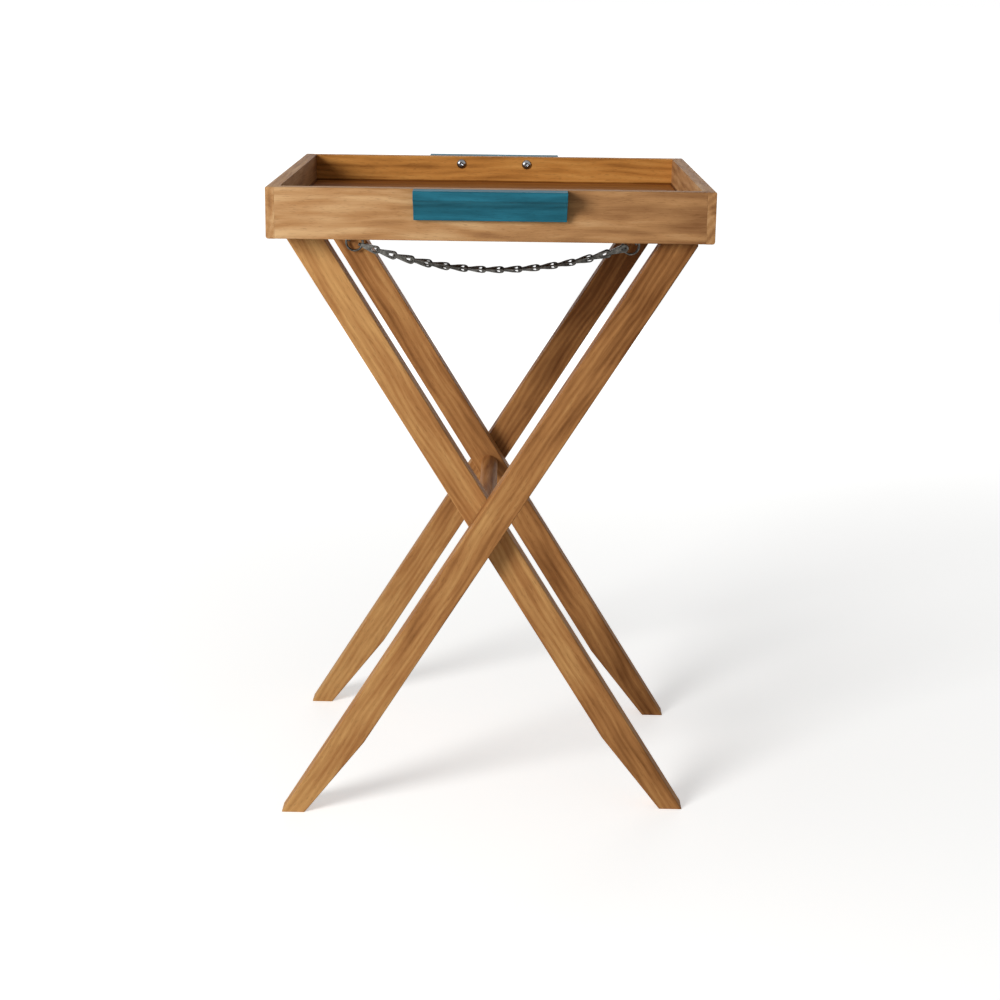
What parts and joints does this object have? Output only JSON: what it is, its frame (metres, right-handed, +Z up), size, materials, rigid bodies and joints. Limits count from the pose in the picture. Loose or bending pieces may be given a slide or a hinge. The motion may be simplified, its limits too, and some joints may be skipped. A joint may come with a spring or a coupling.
{
  "type": "butlers tray table",
  "caption": "Folding wooden X-leg stand with a lift-off rectangular tray, blue-stained bar handles, and a dark strip-link stay chain hung on rings and hooks between the rear legs.",
  "frame": {"origin": "on the floor below the middle of the table", "axes": "+X to the right along the tray's front, +Y from front to rear, +Z up"},
  "size_m": [0.5, 0.486, 0.759],
  "materials": {
    "tray_wood": "oiled hardwood, satin",
    "floor_wood": "oiled hardwood, satin",
    "leg_wood": "oiled hardwood, satin",
    "blue_wood": "petrol-blue stain, satin",
    "bolt_metal": "dark gunmetal",
    "washer_steel": "plain",
    "black_iron": "blackened, satin"
  },
  "bodies": {
    "inner_frame": {"inner_leg_front": "leg_wood", "inner_leg_rear": "leg_wood", "pivot_dowel": "leg_wood", "pivot_washers": "washer_steel", "inner_top_rail": "leg_wood", "left_hook": "black_iron"},
    "outer_frame": {"outer_leg_front": "leg_wood", "outer_leg_rear": "leg_wood", "outer_top_rail": "leg_wood", "right_hook": "black_iron"},
    "tray": {"tray_front_board": "tray_wood", "tray_rear_board": "tray_wood", "tray_left_board": "tray_wood", "tray_right_board": "tray_wood", "tray_floor_panel": "floor_wood", "front_handle": "blue_wood", "rear_handle": "blue_wood", "handle_bolts": "bolt_metal"},
    "stay_chain": {"chain_link_01": "black_iron", "chain_link_02": "black_iron", "chain_link_03": "black_iron", "chain_link_04": "black_iron", "chain_link_05": "black_iron", "chain_link_06": "black_iron", "chain_link_07": "black_iron", "chain_link_08": "black_iron", "chain_link_09": "black_iron", "chain_link_10": "black_iron", "chain_link_11": "black_iron", "chain_link_12": "black_iron", "chain_link_13": "black_iron", "chain_link_14": "black_iron", "chain_end_link": "black_iron", "right_ring": "black_iron"},
    "left_ring": {"left_ring": "black_iron"}
  },
  "joints": [
    {"name": "stand_fold", "type": "hinge", "parent": "inner_frame", "child": "outer_frame", "pos_m": [0, 0, 0.357], "axis": [0, -1, 0], "range_deg": [0, 59.5]},
    {"name": "tray_lift", "type": "slide", "parent": "inner_frame", "child": "tray", "axis": [0, 0, 1], "range_m": [0, 0.3]},
    {"name": "chain_swing", "type": "hinge", "parent": "outer_frame", "child": "stay_chain", "pos_m": [0.18646, 0.1328, 0.6555], "axis": [0, -1, 0], "range_deg": [0, 31]},
    {"name": "left_ring_swing", "type": "hinge", "parent": "stay_chain", "child": "left_ring", "pos_m": [-0.17265, 0.1328, 0.65018], "axis": [0, -1, 0], "range_deg": [-10, 10]}
  ],
  "couplings": [
    {"joint": "tray_lift", "follows": "stand_fold", "m_per_rad": 0.28},
    {"joint": "chain_swing", "follows": "stand_fold", "ratio": 0.5126}
  ]
}
